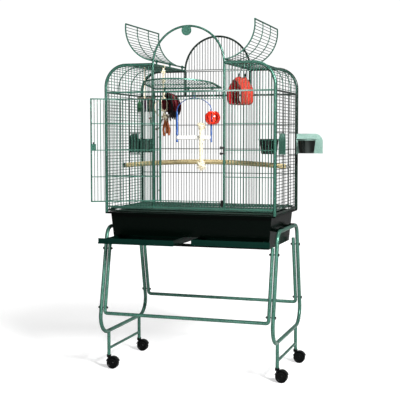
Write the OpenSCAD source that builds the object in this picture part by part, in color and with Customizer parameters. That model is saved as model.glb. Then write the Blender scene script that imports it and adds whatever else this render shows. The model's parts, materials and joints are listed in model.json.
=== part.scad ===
// Bird cage on a wheeled stand. Millimetres, +X right, +Y to the back, +Z up.
// The origin is on the floor, under the middle of the cage.

/* [Cage] */
// Width of the cage between the centre lines of its corner posts
cage_w = 900; // [860:10:940]
// Depth of the cage between the centre lines of its corner posts
cage_d = 504; // [484:4:524]
// Number of gaps between upright wires across the front
front_gaps = 57; // [51:2:63]
// Number of gaps between level wires up a side wall
side_gaps = 39; // [36:1:42]
// Wire radius
wire_r = 1.7; // [1.2:0.1:1.8]
// Corner post radius
post_r = 8; // [7:0.5:9]
// Radius of the arch over the middle of the front and back
arch_r = 189; // [180:1:195]
// Radius of the rounded roof shoulders
shoulder_r = 110; // [90:5:120]

/* [Doors] */
// Opening angle of the main door
door_open = 150; // [100:5:170]
// Width of the main door
door_w = 348; // [340:2:350]
// Folding angle of the landing door, from upright
landing_open = 84; // [70:1:88]
// Opening angle of the two roof wings
wing_open = 83.6; // [60:0.2:90]
// Opening angle of the rear right feeder door
feeder_open = 90; // [60:5:100]

/* [Base and trays] */
// Distance that the left tray is pulled out
tray_out_left = 132; // [0:2:160]
// Distance that the right tray is pulled out
tray_out_right = 59; // [0:1:160]
// Height of a tray
tray_h = 28; // [22:1:28]

/* [Stand] */
// Half the distance between the two side frames
stand_x = 460; // [455:1:470]
// Lean of the legs from upright, in degrees
lean = 11.8; // [8:0.2:13]
// Wheel radius of a caster
wheel_r = 31; // [28:1:32]
// Distance of each caster's swivel axis from the middle plane
caster_y = 215; // [200:5:220]
// Distance of a wheel's axle behind its swivel axis
trail = 22; // [16:1:24]

/* [Hidden] */

fit = 0.05;           // radial clearance of a running fit
gap = 0.3;            // clearance between neighbours that do not touch
grey_green = "#6f978a";
deep_green = "#0f4a3c";
half_w = cage_w / 2;
half_d = cage_d / 2;
pitch = cage_w / front_gaps;
crossbar = 4;         // side of a square crossbar
rail = 8;             // side of a square rail
arch_tube = 5.5;      // radius of the arch tube
floor_z = 850;        // centre of the cage's bottom rails
sill_z = 870;         // centre of the sill over the grate slot
rail_z = 1461;        // centre of the top rails of the box
roof_z = 1600;        // centre line of the flat roof
side_pitch = (rail_z - floor_z) / side_gaps;
crossbar_z = [1031, 1165, 1298];
shoulder_x = half_w - shoulder_r;
shoulder_z = roof_z - shoulder_r;

// stand
tube_r = 10;
top_bar_z = 758;
foot_bar_z = 203;
top_corner_y = 222;
top_bend = 60;
foot_bend = 90;
stretcher_z = 316;
u_x = stand_x - 22;
u_tube_r = 9;
u_top_z = 682;
caster_rail_z = 107;
stub_end_z = 74;
bolt_z = [345, 648];
function leg_y(z) = top_corner_y + (top_bar_z - z) * tan(lean);

// base and trays
ledge_z = 840;
ledge_t = 8;
skirt_top = [864, 476];
skirt_foot = [832, 460];
skirt_foot_z = 670;
sheet = 2;
tray_z = 688;
tray_x = [38, 404];
tray_depth = 440;
front_x = [34, 441];
closed_y = -(half_d - 4);

// doors
hinge_x = -147;
door_y = -half_d - 16;
door_z = [904, 1424];
stile_r = 4;
landing_y = -half_d;
landing_z = rail_z + 14;
landing_r = arch_r - 13;
landing_leg = 126;
wing_z = roof_z + 19;
wing_r = 174;
wing_half = half_d - 12;

// feeders: height of the opening, and its reach along the wall
feeder_z = [1138, 1252];
feeder_y = [63, 218];
leaf_w = 142;
leaf_h = 106;
leaf_x = half_w + 8;
bowl_r = 56;
bowl_h = 76;
bowl_off = [68, 67];
bowl_rim_z = 1221;

// a round rod from p to q
module rod(p, q, r) {
    run = q - p;
    len = norm(run);
    translate(p)
        rotate([0, acos(run.z / len), atan2(run.y, run.x)])
            cylinder(h = len, r = r, $fn = 24);
}

// square bars along X, Y and Z
module bar_x(x0, x1, y, z, s) { translate([x0, y - s / 2, z - s / 2]) cube([x1 - x0, s, s]); }
module bar_y(x, y0, y1, z, s) { translate([x - s / 2, y0, z - s / 2]) cube([s, y1 - y0, s]); }
module bar_z(x, y, z0, z1, s) { translate([x - s / 2, y - s / 2, z0]) cube([s, s, z1 - z0]); }

// a bend in the XZ plane around c, from angle a to angle b, with a round or a square section
module bend_xz(c, r, a, b) {
    translate(c)
        rotate([90, 0, 0])
            rotate([0, 0, a])
                rotate_extrude(angle = b - a, $fn = 96)
                    translate([r, 0])
                        children();
}
module round_bend(c, r, a, b, tube) { bend_xz(c, r, a, b) circle(r = tube, $fn = 24); }
module square_bend(c, r, a, b, s) { bend_xz(c, r, a, b) square(s, center = true); }

// puts a drawing of local X, Y into the YZ plane at x
module in_yz(x) { translate([x, 0, 0]) rotate([90, 0, 90]) children(); }

// mirrors to the right (1) or keeps the left (-1), because left-hand parts are drawn
module side(s) { if (s < 0) children(); else mirror([1, 0, 0]) children(); }

// ---- stand ----

// straight tubes run 1 mm into the bends, a hair thinner than them
module side_frame(s) {
    foot_cut = foot_bend * tan((90 + lean) / 2);
    top_cut = top_bend * tan((90 - lean) / 2);
    foot_y = leg_y(foot_bar_z) - foot_cut;
    top_y = top_corner_y - top_cut;
    leg = (top_bar_z - foot_bar_z) / cos(lean) - foot_cut - top_cut;
    thin = tube_r - 0.02;
    color(grey_green)
        difference() {
            translate([s * stand_x, 0, 0]) {
                for (e = [0, 180])
                    rotate([0, 0, e]) {
                        translate([0, foot_y, foot_bar_z + foot_bend])
                            rotate([lean, 0, 0])
                                translate([0, foot_bend, 0]) {
                                    translate([0, -foot_bend, 0])
                                        rotate([90, 0, 90])
                                            rotate([0, 0, -90 - lean])
                                                rotate_extrude(angle = 90 + lean, $fn = 96)
                                                    translate([foot_bend, 0])
                                                        circle(r = tube_r, $fn = 24);
                                    translate([0, -top_bend, leg])
                                        rotate([90, 0, 90])
                                            rotate_extrude(angle = 90 - lean, $fn = 96)
                                                translate([top_bend, 0])
                                                    circle(r = tube_r, $fn = 24);
                                    translate([0, 0, -1]) cylinder(h = leg + 2, r = thin, $fn = 24);
                                }
                        translate([0, caster_y, stub_end_z])
                            cylinder(h = foot_bar_z - stub_end_z, r = tube_r - 1, $fn = 24);
                    }
                rod([0, -foot_y - 1, foot_bar_z], [0, foot_y + 1, foot_bar_z], thin);
                rod([0, -top_y - 1, top_bar_z], [0, top_y + 1, top_bar_z], thin);
                rod([0, -caster_y, caster_rail_z], [0, caster_y, caster_rail_z], tube_r - 3);
            }
            bolt_holes();
            for (e = [-1, 1])
                translate([s * stand_x, e * caster_y, stub_end_z - 1])
                    cylinder(h = 25, r = 5 + fit, $fn = 24);
        }
}

module bolt_holes() {
    for (z = bolt_z, e = [-1, 1])
        rod([-stand_x - 30, e * leg_y(z), z], [stand_x + 30, e * leg_y(z), z], 3.2);
}

// a leaning frame of two uprights and one stretcher; e is -1 at the front and 1 at the back
module u_frame(e) {
    corner = 14;
    foot = [0, e * leg_y(stretcher_z), stretcher_z];
    len = (u_top_z - stretcher_z) / cos(lean);
    color(grey_green)
        difference() {
            translate(foot)
                rotate([e * lean, 0, 0]) {
                    for (m = [0, 1])
                        mirror([m, 0, 0]) {
                            round_bend([u_x - corner, 0, corner], corner, -90, 0, u_tube_r);
                            rod([u_x, 0, corner], [u_x, 0, len], u_tube_r);
                        }
                    rod([-u_x + corner, 0, 0], [u_x - corner, 0, 0], u_tube_r);
                }
            bolt_holes();
        }
}

module frame_bolts() {
    nut = u_x - u_tube_r - gap;
    head = stand_x + tube_r + gap;
    color("#1c1c1c")
        for (z = bolt_z, e = [-1, 1], m = [0, 1])
            mirror([m, 0, 0]) {
                rod([nut - 7, e * leg_y(z), z], [head + 1, e * leg_y(z), z], 3);
                translate([nut - 5, e * leg_y(z), z])
                    rotate([0, 90, 0])
                        cylinder(h = 5, r = 6, $fn = 6);
                translate([head, e * leg_y(z), z])
                    rotate([0, 90, 0])
                        cylinder(h = 4, r = 7, $fn = 24);
            }
}

// clamps that hold the base between the two side frames
module base_brackets() {
    rise = (top_bar_z + 7 - skirt_foot_z) / (ledge_z - ledge_t - skirt_foot_z);
    inner = skirt_foot.x / 2 + rise * (skirt_top.x - skirt_foot.x) / 2 + gap;
    wall = stand_x - tube_r;
    color("#181c1b")
        for (m = [0, 1], y = [-120, 120])
            mirror([m, 0, 0])
                translate([0, y, top_bar_z]) {
                    translate([inner, -18, -7]) cube([wall - inner - 2 * gap, 36, 14]);
                    translate([wall - 6, -18, tube_r + gap]) cube([22, 36, 4]);
                    translate([wall - 6, -18, -7]) cube([6 - 2 * gap, 36, 18]);
                }
}

module caster_place(sx, sy) { translate([sx * stand_x, sy * caster_y, 0]) children(); }

module caster_body(sx, sy) {
    color("#141414")
        caster_place(sx, sy) {
            difference() {
                union() {
                    translate([0, 0, 62]) cylinder(h = 34, r = 5, $fn = 32);
                    translate([0, 0, 60]) cylinder(h = 13.5, r = 12, $fn = 48);
                    translate([trail, 3, wheel_r]) rotate([90, 0, 0]) cylinder(h = 6, r = 22, $fn = 64);
                    translate([-6, -3, wheel_r + 6]) cube([trail + 6, 6, 26]);
                    translate([trail, 17, wheel_r])
                        rotate([90, 0, 0])
                            rotate([0, 0, 15])
                                rotate_extrude(angle = 150, $fn = 96)
                                    translate([wheel_r + 1.2, 0])
                                        square([2, 34]);
                }
                translate([trail, 10, wheel_r]) rotate([90, 0, 0]) cylinder(h = 20, r = 4 + fit, $fn = 32);
            }
        }
}

module caster_wheels(sx, sy) {
    tread = 13;
    inner = 3.4;
    color("#0c0c0c")
        caster_place(sx, sy)
            translate([trail, 0, wheel_r])
                rotate([90, 0, 0]) {
                    for (m = [0, 1])
                        mirror([0, 0, m])
                            translate([0, 0, inner])
                                rotate_extrude($fn = 96)
                                    polygon([[0, 0], [wheel_r - 2, 0], [wheel_r, 2], [wheel_r, tread - 4],
                                             [wheel_r - 3, tread], [wheel_r - 9, tread], [wheel_r - 11, tread - 2],
                                             [9, tread - 2], [7, tread], [0, tread]]);
                    cylinder(h = 2 * inner + 1, r = 4, center = true, $fn = 32);
                }
}

// ---- base and trays ----

module skirt_block(inset, low, high) {
    hull() {
        translate([0, 0, low - 0.5])
            cube([skirt_foot.x - 2 * inset, skirt_foot.y - 2 * inset, 1], center = true);
        translate([0, 0, high - 0.5])
            cube([skirt_top.x - 2 * inset, skirt_top.y - 2 * inset, 1], center = true);
    }
}

module base_skirt() {
    slot_z = tray_z - 2;
    color("#0b0d0d")
        difference() {
            skirt_block(0, skirt_foot_z + 1, ledge_z - ledge_t);
            skirt_block(sheet, skirt_foot_z - 1, ledge_z - ledge_t + 2);
            translate([-tray_x[1] - 3, -half_d, slot_z])
                cube([2 * tray_x[1] + 6, 40, tray_h + 6]);
        }
}

module base_ledge() {
    outer = [cage_w + 12, cage_d + 12];
    inner = skirt_top - [12, 12];
    color("#101413")
        difference() {
            translate([0, 0, ledge_z - ledge_t / 2]) cube([outer.x, outer.y, ledge_t], center = true);
            translate([0, 0, ledge_z - ledge_t / 2]) cube([inner.x, inner.y, ledge_t + 2], center = true);
        }
}

// angle runners under the long edges of the trays
module tray_runners() {
    low = tray_z - gap;
    color("#20302c")
        for (m = [0, 1], x = [tray_x[0], tray_x[1] - 10])
            mirror([m, 0, 0])
                translate([x, -228, low - 3])
                    cube([10, 456, 3]);
}

module tray(s, out) {
    w = tray_x[1] - tray_x[0];
    side(s)
        translate([-tray_x[1], closed_y - out, tray_z])
            color(deep_green)
                difference() {
                    cube([w, tray_depth, tray_h]);
                    translate([sheet, sheet, sheet]) cube([w - 2 * sheet, tray_depth - 2 * sheet, tray_h]);
                }
}

module tray_front(s, out) {
    side(s)
        translate([-front_x[1], closed_y - out, tray_z])
            color(deep_green) {
                translate([0, -3, 0]) cube([front_x[1] - front_x[0], 3 - gap / 3, tray_h]);
                translate([0, -9, 0]) cube([front_x[1] - front_x[0], 7, 2.5]);
                translate([0, -9, 0]) cube([front_x[1] - front_x[0], 2, 7]);
            }
}

// wire grate that slides out through the slot over the front bottom rail
module floor_grate() {
    low = floor_z + 7;
    w = cage_w - 2 * post_r - 16;
    d = cage_d - 24;
    color(grey_green) {
        for (y = [-d / 2, -d / 6, d / 6, d / 2 - 5])
            translate([-w / 2, y, low]) cube([w, 5, 6]);
        for (x = [-w / 2, w / 2 - 5])
            translate([x, -d / 2, low]) cube([5, d, 6]);
        for (i = [-27:27])
            rod([i * pitch, -d / 2 + 1, low + 3], [i * pitch, d / 2 - 1, low + 3], wire_r);
    }
}

// ---- walls ----

function wire_x(i) = -half_w + i * pitch;
function roof_height(x) = abs(x) < shoulder_x ? roof_z
    : shoulder_z + sqrt(shoulder_r * shoulder_r - pow(abs(x) - shoulder_x, 2));

module front_bottom_rail() {
    x = half_w - post_r - gap;
    color(deep_green) bar_x(-x, x, -half_d, floor_z, rail);
}

// post, shoulder bend and roof tube of the left half
module panel_frame(y) {
    edge = -arch_r - arch_tube - gap;
    rod([-half_w, y, ledge_z], [-half_w, y, shoulder_z], post_r);
    round_bend([-shoulder_x, y, shoulder_z], shoulder_r, 90, 180, post_r);
    rod([-shoulder_x, y, roof_z], [edge, y, roof_z], post_r);
}

// upright wires between the post and the arch leg
module panel_wires(y, low) {
    for (i = [1:16])
        rod([wire_x(i), y, low], [wire_x(i), y, roof_height(wire_x(i))], wire_r);
}

module front_panel(s) {
    edge = -arch_r - arch_tube - gap;
    color(grey_green)
        side(s) {
            panel_frame(-half_d);
            panel_wires(-half_d, sill_z);
            bar_x(-half_w, edge, -half_d, sill_z, rail);
            bar_x(-half_w, edge, -half_d, rail_z, rail);
            for (z = crossbar_z) bar_x(-half_w, edge, -half_d, z, crossbar);
        }
}

// legs of the arch, door jamb, sill and the fixed strips round the door
module door_surround() {
    color(grey_green) {
        for (x = [-arch_r, arch_r]) rod([x, -half_d, sill_z - 4], [x, -half_d, rail_z - 5], arch_tube);
        rod([hinge_x, -half_d, sill_z], [hinge_x, -half_d, rail_z], 3);
        bar_x(-arch_r, arch_r, -half_d, sill_z, rail);
        bar_x(-arch_r - arch_tube, arch_r + arch_tube, -half_d, rail_z, rail + 2);
        bar_x(-arch_r, arch_r, -half_d, door_z[0] + 2, crossbar);
        bar_x(-arch_r, arch_r, -half_d, door_z[1] - 2, crossbar);
        for (z = crossbar_z) bar_x(-arch_r, hinge_x, -half_d, z, crossbar);
        for (i = [17:18]) rod([wire_x(i), -half_d, sill_z], [wire_x(i), -half_d, rail_z], wire_r);
        for (i = [20:40]) {
            rod([wire_x(i), -half_d, sill_z], [wire_x(i), -half_d, door_z[0] + 2], wire_r);
            rod([wire_x(i), -half_d, door_z[1] - 2], [wire_x(i), -half_d, rail_z], wire_r);
        }
    }
}

// hoop over the middle, above the top rail
module hoop(y) {
    low = rail_z + 5 + gap;
    for (x = [-arch_r, arch_r]) rod([x, y, low], [x, y, roof_z - 2], arch_tube);
    round_bend([0, y, roof_z - 2], arch_r, 0, 180, arch_tube);
}

module front_arch() { color(grey_green) hoop(-half_d); }

// round plate on the front of the arch's top
module arch_disc() {
    color(grey_green)
        translate([-6, -half_d - arch_tube - gap, 1765])
            rotate([90, 0, 0])
                cylinder(h = 2.5, r = 26, $fn = 64);
}

module back_panel() {
    top = roof_z - crossbar;
    color(deep_green) {
        for (s = [-1, 1])
            side(s) {
                panel_frame(half_d);
                panel_wires(half_d, floor_z);
            }
        for (i = [17:40]) rod([wire_x(i), half_d, floor_z], [wire_x(i), half_d, top], wire_r);
        bar_x(-half_w, half_w, half_d, floor_z, rail);
        bar_x(-half_w, half_w, half_d, rail_z, rail + 2);
        bar_x(-arch_r + arch_tube + gap, arch_r - arch_tube - gap, half_d, top, crossbar);
        for (z = crossbar_z) bar_x(-half_w, half_w, half_d, z, crossbar);
    }
}

module back_arch() {
    color(deep_green) {
        hoop(half_d);
        bar_x(-arch_r, arch_r, half_d, roof_z + crossbar, crossbar);
        for (i = [18:39])
            rod([wire_x(i), half_d, roof_z + crossbar],
                [wire_x(i), half_d, roof_z - 2 + sqrt(arch_r * arch_r - pow(wire_x(i), 2))], wire_r);
    }
}

// a side wall: level wires through square uprights, open where a feeder door is
module wall(s, feeders) {
    reach = half_d - post_r - gap;
    inner = feeder_y[0];
    outer = feeder_y[1];
    color(deep_green)
        side(s) {
            bar_y(-half_w, -reach, reach, floor_z, rail);
            bar_y(-half_w, -reach, reach, rail_z, rail);
            for (y = [-reach + 3, -outer, -inner, inner, outer, reach - 3])
                bar_z(-half_w, y, floor_z, rail_z, crossbar);
            for (f = feeders, z = feeder_z) {
                y0 = f > 0 ? inner : -outer;
                bar_y(-half_w, y0, y0 + outer - inner, z, crossbar);
            }
            for (k = [1:side_gaps - 1]) {
                z = floor_z + k * side_pitch;
                cut = z > feeder_z[0] && z < feeder_z[1];
                ends = !cut ? [[-reach, reach]]
                    : len(feeders) > 1 ? [[-reach, -outer], [-inner, inner], [outer, reach]]
                    : [[-reach, inner], [outer, reach]];
                for (e = ends) rod([-half_w, e[0], z], [-half_w, e[1], z], wire_r);
            }
        }
}

// shoulder and flat roof: level wires through bent ribs
flat_end = arch_r + 15;
flat_gaps = 9;
flat_pitch = (shoulder_x - flat_end) / flat_gaps;
module roof(s) {
    arc_gaps = 11;
    reach = half_d - post_r - 1;
    color(grey_green)
        side(s) {
            for (y = [-reach + 3, -half_d / 3, half_d / 3, reach - 3]) {
                bar_z(-half_w, y, rail_z + 5, shoulder_z, crossbar);
                square_bend([-shoulder_x, y, shoulder_z], shoulder_r, 90, 180, crossbar);
                bar_x(-shoulder_x, -flat_end, y, roof_z, crossbar);
            }
            for (z = [rail_z + 0.5 * side_pitch + 3, shoulder_z])
                rod([-half_w, -reach, z], [-half_w, reach, z], wire_r);
            for (k = [1:arc_gaps]) {
                a = 90 * k / arc_gaps;
                x = -shoulder_x - shoulder_r * cos(a);
                z = shoulder_z + shoulder_r * sin(a);
                rod([x, -reach, z], [x, reach, z], wire_r);
            }
            for (k = [1:flat_gaps - 1]) {
                x = -shoulder_x + k * flat_pitch;
                rod([x, -reach, roof_z], [x, reach, roof_z], wire_r);
            }
            bar_y(-flat_end, -reach, reach, roof_z, crossbar);
        }
}

// a plate with an eye at p, its foot reaching to below; flat face along Y or X
module eye(p, drop, hole, turn) {
    translate(p)
        rotate([0, 0, turn])
            difference() {
                union() {
                    rotate([90, 0, 0]) cylinder(h = 5, r = hole + 4, center = true, $fn = 48);
                    translate([-4, -2.5, -drop]) cube([8, 5, drop]);
                }
                rotate([90, 0, 0]) cylinder(h = 7, r = hole, center = true, $fn = 48);
            }
}

// rails along the roof opening, with the eyes that the wings turn in
module ridge_rails() {
    reach = half_d - arch_tube - gap;
    color(grey_green)
        for (s = [-1, 1]) {
            rod([s * arch_r, -reach, roof_z], [s * arch_r, reach, roof_z], arch_tube);
            for (y = [-200, 0, 200]) eye([s * arch_r, y, wing_z], wing_z - roof_z, stile_r + fit, 0);
        }
}

// ---- doors ----

module main_door() {
    h = door_z[1] - door_z[0];
    color(grey_green)
        translate([hinge_x, door_y, door_z[0]])
            rotate([0, 0, -door_open]) {
                rod([0, 0, 0], [0, 0, h], stile_r);
                rod([door_w, 0, 0], [door_w, 0, h], stile_r);
                for (z = [3, h - 3]) bar_x(0, door_w, 0, z, 6);
                for (z = crossbar_z) bar_x(0, door_w, 0, z - door_z[0], crossbar);
                for (i = [1:21]) rod([i * door_w / 22, 0, 3], [i * door_w / 22, 0, h - 3], wire_r);
                translate([door_w - 24, -4, 1162 - door_z[0]]) cube([23, 2.5, 34]);
            }
}

// eyes that the main door's stile and the landing door's bar turn in
module hinge_eyes() {
    color(grey_green) {
        for (z = [960, 1231, 1370])
            translate([hinge_x, door_y, z])
                difference() {
                    union() {
                        cylinder(h = 5, r = stile_r + 4, center = true, $fn = 48);
                        translate([-3, 0, -2.5]) cube([6, 16 - 3 - gap, 5]);
                    }
                    cylinder(h = 7, r = stile_r + fit, center = true, $fn = 48);
                }
        for (x = [-8 * pitch, 0, 8 * pitch])
            eye([x, landing_y, landing_z], landing_z - rail_z - 5 - gap, stile_r + fit, 90);
    }
}

// turn latch at the free stile of the main door
module door_latch() {
    color("#141414")
        translate([hinge_x, door_y, 1165])
            rotate([0, 0, -door_open])
                translate([door_w - 14, 0, 0]) {
                    rod([0, -12, 14], [0, -4 - gap, 14], 5);
                    translate([-4, -16, 6]) cube([8, 4, 34]);
                    translate([0, -12, 14]) rotate([90, 0, 0]) cylinder(h = 4, r = 9, $fn = 48);
                }
}

// two studs on the arch leg that the latch closes on, and the door stop below
module latch_strike() {
    x = hinge_x + 20.5 * door_w / 22;
    color("#141414") {
        for (z = [1148, 1178]) {
            rod([x, -half_d - 7, z], [x, -half_d - 10, z], 4);
            rod([x, -half_d - 10, z], [x, -half_d - 13, z], 7);
        }
        for (z = [1148, 1178]) translate([x - 4, -half_d - 9, z - 4]) cube([20, 3 - gap, 8]);
        translate([x + 12, -half_d - 9, 1146]) cube([4, 3 - gap, 34]);
        translate([x - 3, -half_d - 9, 882]) cube([14, 3 - gap, 32]);
    }
}

module landing_door() {
    top = landing_leg;
    color(grey_green)
        translate([0, landing_y, landing_z])
            rotate([landing_open, 0, 0]) {
                rod([-landing_r, 0, 0], [landing_r, 0, 0], stile_r);
                for (x = [-landing_r, landing_r]) bar_z(x, 0, 0, top, 6);
                square_bend([0, 0, top], landing_r, 0, 180, 6);
                for (z = [16, top]) bar_x(-landing_r, landing_r, 0, z, crossbar);
                for (i = [18:39]) {
                    x = wire_x(i);
                    rod([x, 0, 0], [x, 0, top + sqrt(landing_r * landing_r - x * x)], wire_r);
                }
            }
}

module wing(s) {
    gaps = 17;
    color(grey_green)
        side(s)
            translate([-arch_r, 0, wing_z])
                rotate([0, -wing_open, 0]) {
                    rod([0, -wing_half, 0], [0, wing_half, 0], stile_r);
                    rod([wing_r, -wing_half, wing_r], [wing_r, wing_half, wing_r], stile_r);
                    for (y = [-wing_half, wing_half])
                        square_bend([wing_r, y, 0], wing_r, 90, 180, 6);
                    for (y = [-wing_half / 3, wing_half / 3])
                        square_bend([wing_r, y, 0], wing_r, 90, 180, crossbar);
                    for (k = [1:gaps - 1]) {
                        a = 180 - 90 * k / gaps;
                        x = wing_r + wing_r * cos(a);
                        z = wing_r * sin(a);
                        rod([x, -wing_half, z], [x, wing_half, z], wire_r);
                    }
                }
}

// ---- feeders ----

// puts a feeder part at its hinge, drawn closed on the left wall with the hinge at the rear
module feeder_place(s, y, open) {
    side(s)
        translate([-leaf_x, y, 0])
            rotate([0, 0, -open])
                children();
}

module leaf_outline() {
    r = 44;
    square([leaf_w, leaf_h - r]);
    translate([0, leaf_h - r]) square([leaf_w - r, r]);
    translate([leaf_w - r, leaf_h - r]) circle(r = r, $fn = 64);
}

module feeder_door(s, y, open) {
    low = feeder_z[0] + 5;
    ring_z = bowl_rim_z - 5;
    ring_r = bowl_r - 5;
    color(grey_green)
        feeder_place(s, y, open) {
            translate([-0.8, 0, low])
                rotate([90, 0, -90])
                    translate([0, 0, -1.6])
                        linear_extrude(1.6)
                            leaf_outline();
            rod([0, 0, low - 6], [0, 0, low + leaf_h - 26], 3);
            translate([bowl_off[1], -bowl_off[0], ring_z])
                rotate_extrude($fn = 96)
                    translate([ring_r, 0])
                        circle(r = 2.4, $fn = 24);
            for (e = [-1, 1])
                rod([0, -bowl_off[0] + e * 30, ring_z],
                    [bowl_off[1] - sqrt(ring_r * ring_r - 900), -bowl_off[0] + e * 30, ring_z], 2.2);
            translate([-5, -leaf_w + 12, ring_z]) rotate([0, 90, 0]) cylinder(h = 5, r = 6, $fn = 32);
        }
}

module bowl(s, y, open) {
    wall = 1.2;
    foot_r = 40;
    rim_r = bowl_r - 8;
    color("silver")
        feeder_place(s, y, open)
            translate([bowl_off[1], -bowl_off[0], bowl_rim_z - bowl_h])
                rotate_extrude($fn = 128)
                    polygon([[0, 0], [foot_r - 4, 0], [foot_r, 4], [rim_r, bowl_h - 2.4], [bowl_r, bowl_h - 2.4],
                             [bowl_r, bowl_h], [rim_r - wall, bowl_h], [foot_r - wall, 5], [foot_r - 5, 1.6],
                             [0, 1.6]]);
}

// ---- furniture and toys ----

perch_r = 13;
perch_turn = 1.65;
perch_end = [half_w - 6, floor_z + 14.5 * side_pitch];
perch_rise = 22;
perch_bow = (pow(perch_end[0], 2) + pow(perch_rise, 2)) / (2 * perch_rise);
perch_half = asin(perch_end[0] / perch_bow);

module perch_place() { translate([0, 9, 0]) rotate([0, 0, perch_turn]) children(); }

module perch() {
    color("#d9b98a")
        perch_place()
            round_bend([0, 0, perch_end[1] + perch_rise - perch_bow], perch_bow, 90 - perch_half, 90 + perch_half,
                       perch_r);
}

// washer and wing nut outside each wall
module perch_fittings() {
    x = half_w + wire_r + gap;
    color("silver")
        for (m = [-1, 1])
            translate([m * x, 9 + m * x * tan(perch_turn), perch_end[1]])
                mirror([m < 0 ? 1 : 0, 0, 0])
                    rotate([0, 90, 0]) {
                        cylinder(h = 2, r = 14, $fn = 48);
                        cylinder(h = 12, r = 5, $fn = 32);
                        translate([-2, -15, 4]) cube([4, 30, 8]);
                        translate([0, 0, -5]) cylinder(h = 6, r = 3, $fn = 24);
                    }
}

// the swing hangs from a short arm that reaches inwards from the top rail
swing_y = -192;
swing_x = 12;
swing_pivot_z = 1440;
swing_half = 92;
swing_bar_z = 1228;
swing_arch_z = 1366;
swing_corner_r = 44;

module swing_frame() {
    top = swing_arch_z;
    inset = swing_half - swing_corner_r;
    crown_r = swing_corner_r + inset * sqrt(2);
    color("#2f62b8") {
        translate([swing_x, swing_y, 0]) {
            round_bend([inset, 0, top], swing_corner_r, 0, 45, 2);
            round_bend([-inset, 0, top], swing_corner_r, 135, 180, 2);
            round_bend([0, 0, top - inset], crown_r, 45, 135, 2);
            for (e = [-1, 1]) rod([e * swing_half, 0, swing_bar_z - 23], [e * swing_half, 0, top], 3);
            rod([0, 0, top - inset + crown_r], [0, 0, swing_pivot_z - 4], 2);
            translate([0, 0, swing_pivot_z])
                rotate([0, 90, 0])
                    rotate_extrude($fn = 48) translate([3.6 + fit, 0]) circle(r = 1.6, $fn = 24);
        }
    }
}

// arm that reaches inwards from the top rail, with the pin that the swing hangs on
module swing_arm() {
    color(grey_green)
        translate([swing_x, 0, 0]) {
            translate([-3, -half_d + 5 + gap, rail_z - 2]) cube([6, half_d - 1 + swing_y, 4]);
            for (e = [-1, 1])
                translate([e * 4 - 1, swing_y - 4, swing_pivot_z - 4]) cube([2, 8, rail_z + 2 - swing_pivot_z + 4]);
            translate([-5, swing_y - 4, rail_z - 2]) cube([10, 8, 4]);
            rod([-6, swing_y, swing_pivot_z], [6, swing_y, swing_pivot_z], 2);
        }
}

module swing_perch() {
    x = swing_half - 3 - gap;
    color("#efe9dc") rod([swing_x - x, swing_y, swing_bar_z], [swing_x + x, swing_y, swing_bar_z], 10);
}

// ball threaded on the swing's right-hand upright
module swing_ball() {
    color("#e8341c")
        translate([swing_x, swing_y, 0])
            difference() {
                translate([swing_half + 7, 0, 1328])
                    intersection() {
                        sphere(r = 39, $fn = 96);
                        cube([80, 80, 66], center = true);
                    }
                rod([swing_half, 0, 1280], [swing_half, 0, swing_arch_z + 0.5], 3.3);
            }
}

// knotted cotton rope lashed to the swing's perch
module swing_rope() {
    x = swing_x + 44;
    y = swing_y - 20.5;
    color("#e9e0c4") {
        translate([x, y + 4, 1285]) sphere(r = 22.5, $fn = 64);
        rod([x, y, 1096], [x, y, 1280], 10);
        translate([x, swing_y, swing_bar_z])
            rotate([0, 90, 0])
                rotate_extrude($fn = 64)
                    translate([14.3, 0])
                        circle(r = 4, $fn = 24);
        translate([x, y, 1092]) sphere(r = 24, $fn = 64);
    }
}

toy_y = -100;
ring_c = [-185.5, 1402];
ring_half = 18;
ring_leg = 16;

// rope from the roof rail with a ring, a knot and two tan strips under the knot
module toy_rope() {
    color("#e9e0c4")
        translate([0, toy_y, 0]) {
            translate([-arch_r, 0, roof_z])
                rotate([90, 0, 0])
                    rotate_extrude($fn = 48)
                        translate([8.4, 0])
                            circle(r = 2, $fn = 24);
            rod([-arch_r, 0, 1437.5], [-arch_r, 0, roof_z - 7.2], 5);
            rod([-arch_r, 0, 1452], [-arch_r, 0, 1472], 8);
            for (z = [1523, 1572]) translate([-arch_r, 0, z]) sphere(r = 13, $fn = 48);
            round_bend([ring_c[0], 0, ring_c[1] + ring_leg], ring_half, 0, 180, 5);
            round_bend([ring_c[0], 0, ring_c[1] - ring_leg], ring_half, 180, 360, 5);
            for (e = [-1, 1])
                rod([ring_c[0] + e * ring_half, 0, ring_c[1] - ring_leg],
                    [ring_c[0] + e * ring_half, 0, ring_c[1] + ring_leg], 5);
            rod([-184, 0, 1368], [-180, 0, 1345], 4.5);
            translate([-179, 0, 1339]) sphere(r = 24, $fn = 64);
            for (x = [-189, -168]) translate([x, -1, 1236]) cube([15, 2, 90]);
        }
}

// bundle of leather strips on a cord from the rope
module toy_leather() {
    x = -128;
    color("#6b1220")
        translate([0, toy_y, 0]) {
            translate([x, 0, 1414]) cylinder(h = 34, r1 = 33, r2 = 12, $fn = 48);
            translate([x, 0, 1372]) cylinder(h = 42, r = 33, $fn = 48);
            translate([x, 0, 1342]) cylinder(h = 30, r1 = 20, r2 = 33, $fn = 48);
            rod([x, 0, 1446], [-arch_r + 9.5, 0, 1463], 2);
        }
}

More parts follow.
